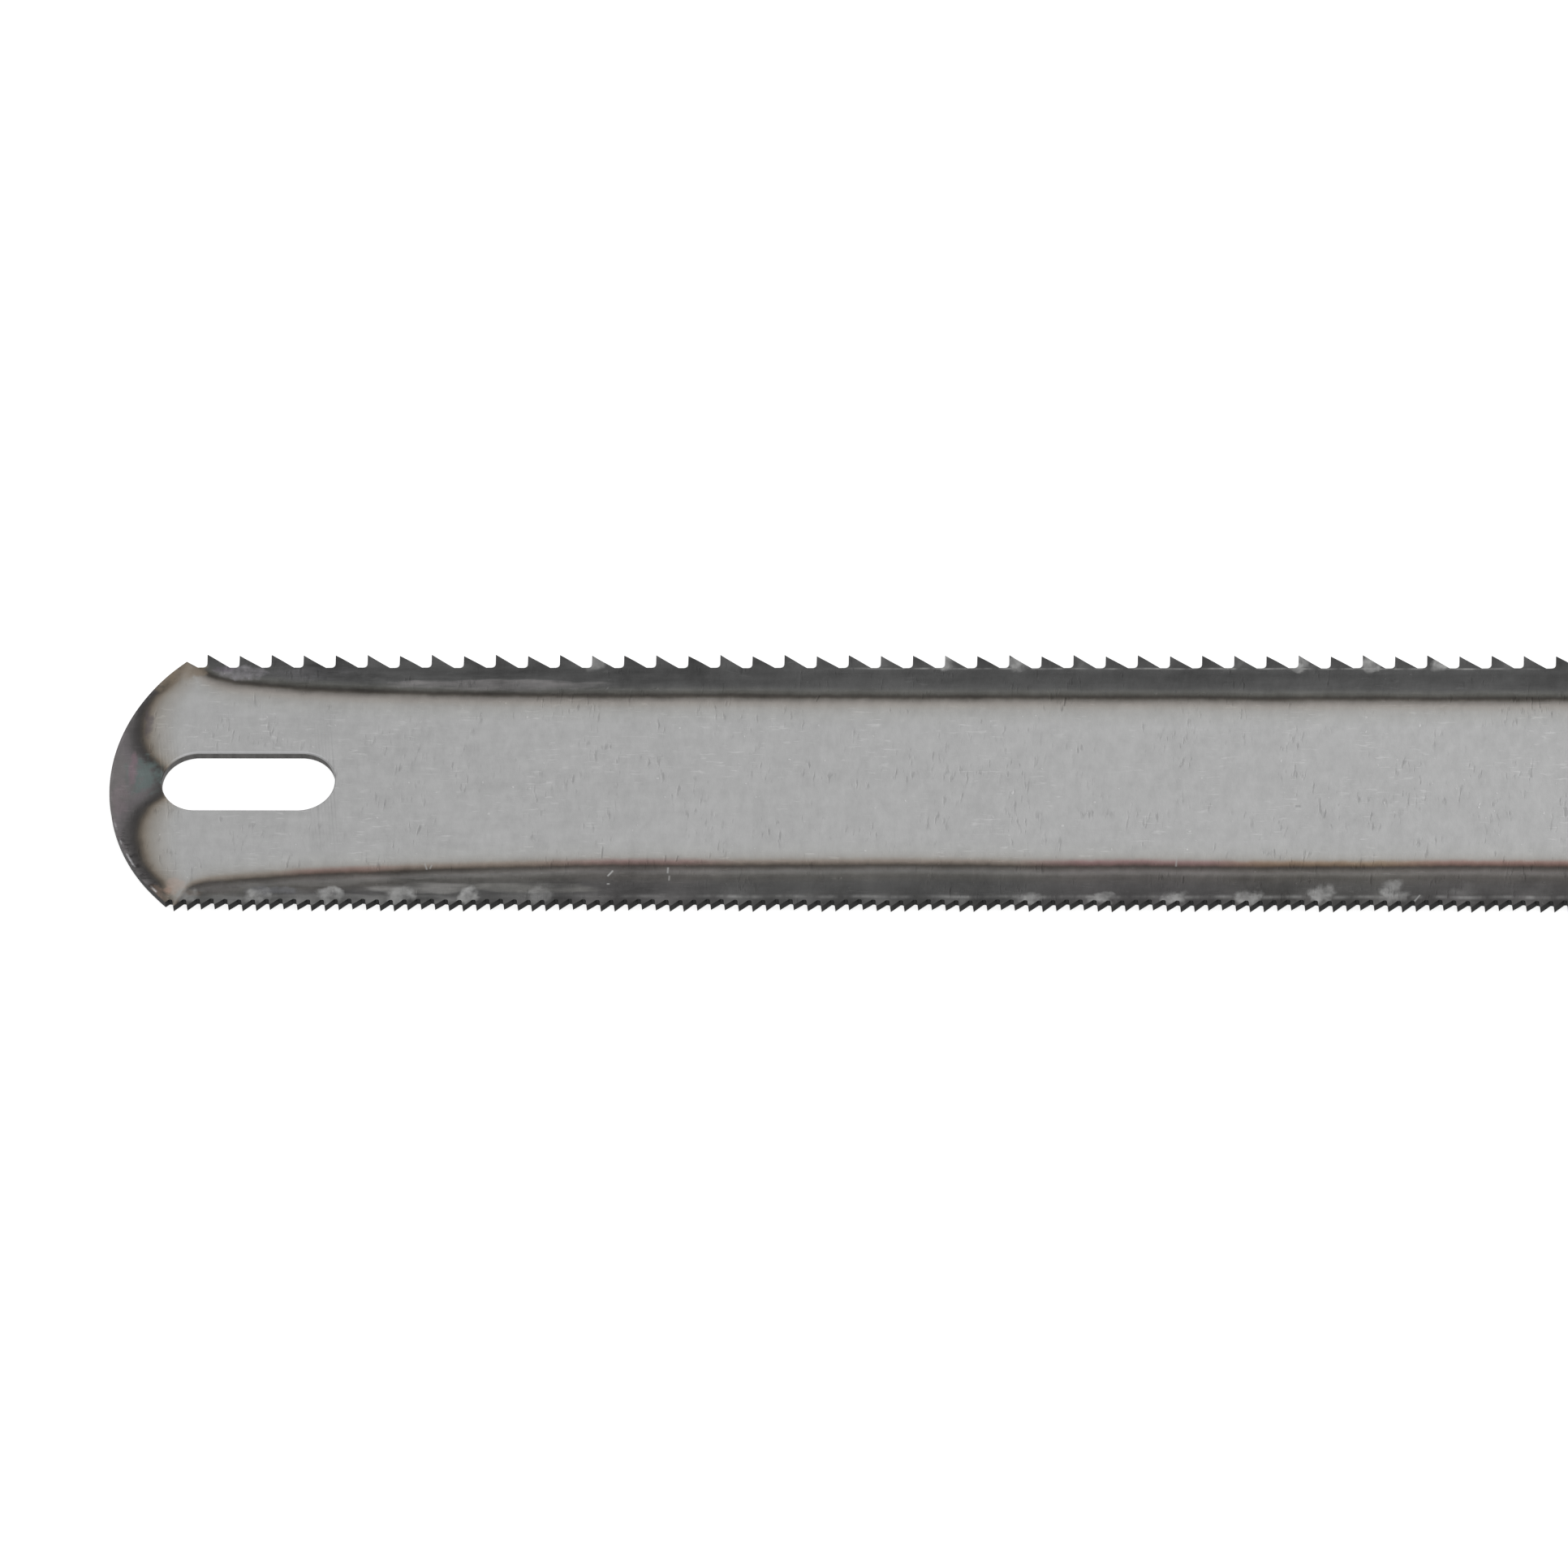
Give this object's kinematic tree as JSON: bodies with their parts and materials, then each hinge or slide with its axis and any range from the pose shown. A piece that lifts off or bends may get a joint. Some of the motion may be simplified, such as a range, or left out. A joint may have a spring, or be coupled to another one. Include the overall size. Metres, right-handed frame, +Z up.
{
  "type": "double-edged hand saw blade",
  "caption": "Flat steel hand saw blade for a frame, with coarse teeth on one edge, fine teeth on the other, rounded ends and a long slot for a pin at each end.",
  "frame": {"origin": "middle of the blade's length and width, on the surface that it lies on", "axes": "+X along the blade, away from the end that the teeth point to; +Y across it, towards the coarse teeth; +Z up, out of the face that the slots were punched from"},
  "size_m": [0.3134, 0.024, 0.0009],
  "materials": {
    "hardened_steel": "rolled and wiped grey steel, with dark hardened edges and brown heat tint along them"
  },
  "bodies": {
    "root": {"blade": "hardened_steel"}
  },
  "joints": []
}
